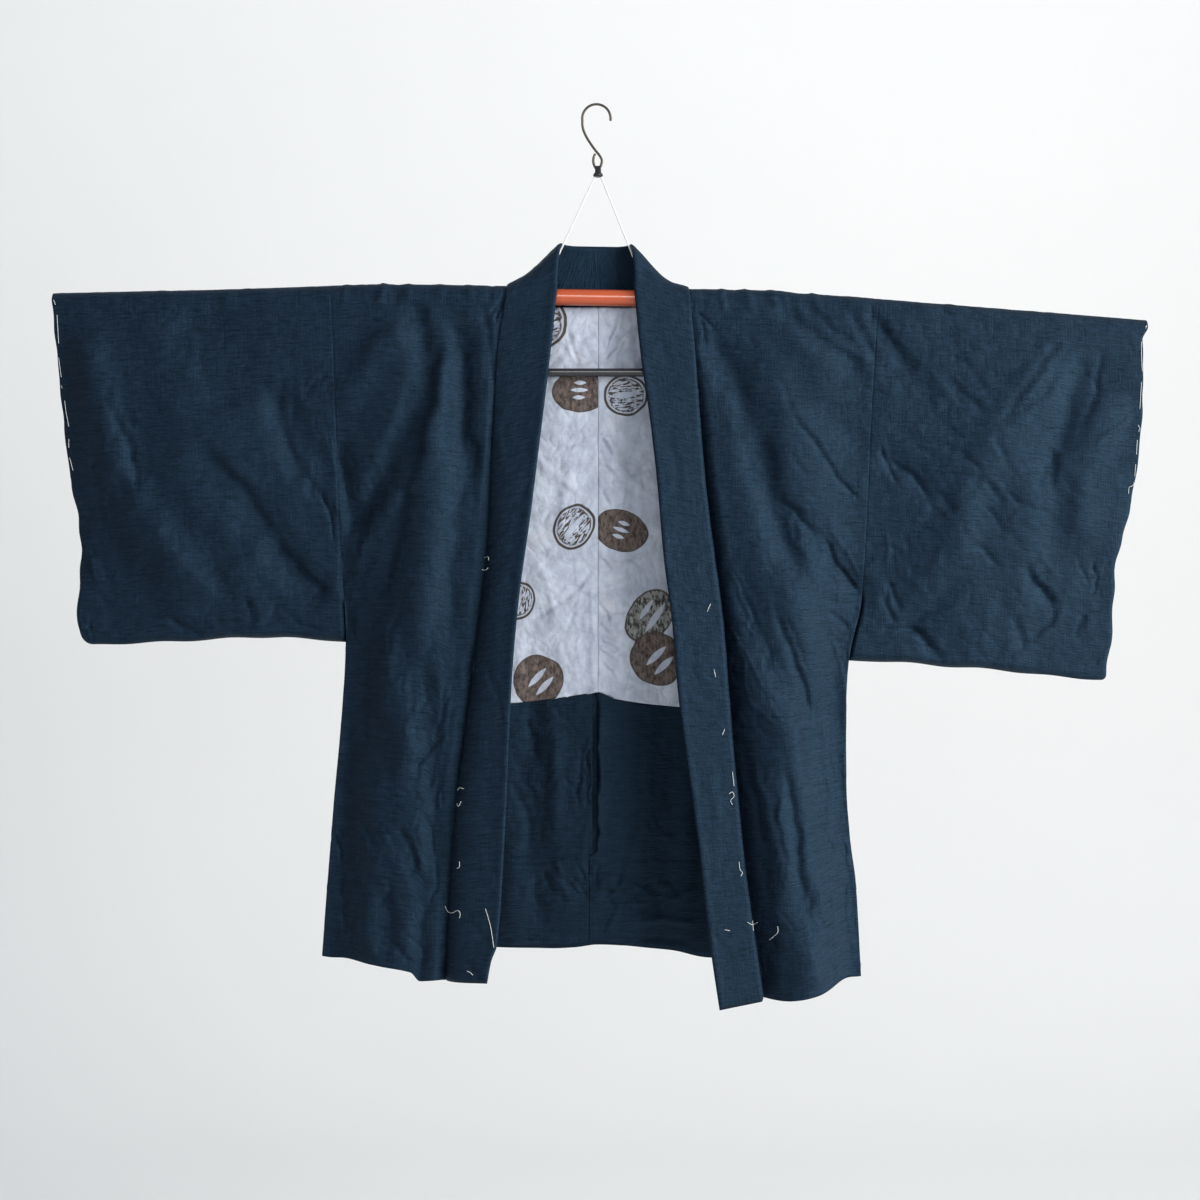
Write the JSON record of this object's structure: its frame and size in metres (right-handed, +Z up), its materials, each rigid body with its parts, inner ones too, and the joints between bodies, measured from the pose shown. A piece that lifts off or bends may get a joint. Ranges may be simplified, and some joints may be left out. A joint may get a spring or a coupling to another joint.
{
  "type": "haori jacket on a kimono hanger",
  "caption": "Dark blue lined haori jacket hanging by its sleeves on a straight kimono hanger, front open, with wide square sleeves and a long collar band.",
  "frame": {"origin": "inside of the hook's crown, where the hanger is held up", "axes": "+Z up, -Y to the front of the jacket, +X to the wearer's left along the sleeves"},
  "size_m": [1.3097, 0.1279, 1.0732],
  "materials": {
    "outer_silk": "dark blue slubbed silk, low sheen",
    "lining_silk": "pale marbled printed silk, soft sheen",
    "orange_plastic": "semi-gloss",
    "black_plastic": "semi-gloss",
    "white_cord": "matte braided cord",
    "dark_steel": "blackened wire",
    "basting_thread": "matte cotton thread"
  },
  "bodies": {
    "root": {"front_right": "outer_silk", "front_left": "outer_silk", "back_right": "outer_silk", "back_left": "outer_silk", "sleeve_right": "outer_silk", "sleeve_left": "outer_silk", "gusset_right": "outer_silk", "gusset_left": "outer_silk", "collar": "outer_silk", "back_facing_right": "outer_silk", "back_facing_left": "outer_silk", "back_lining_right": "lining_silk", "back_lining_left": "lining_silk", "hanger_tube": "orange_plastic", "hanger_arm_right": "orange_plastic", "hanger_arm_left": "orange_plastic", "hanger_bar": "black_plastic", "bar_bracket_right": "black_plastic", "bar_bracket_left": "black_plastic", "hanger_clip": "black_plastic", "hanger_cord_right": "white_cord", "hanger_cord_left": "white_cord", "hanger_hook": "dark_steel"}
  },
  "joints": []
}
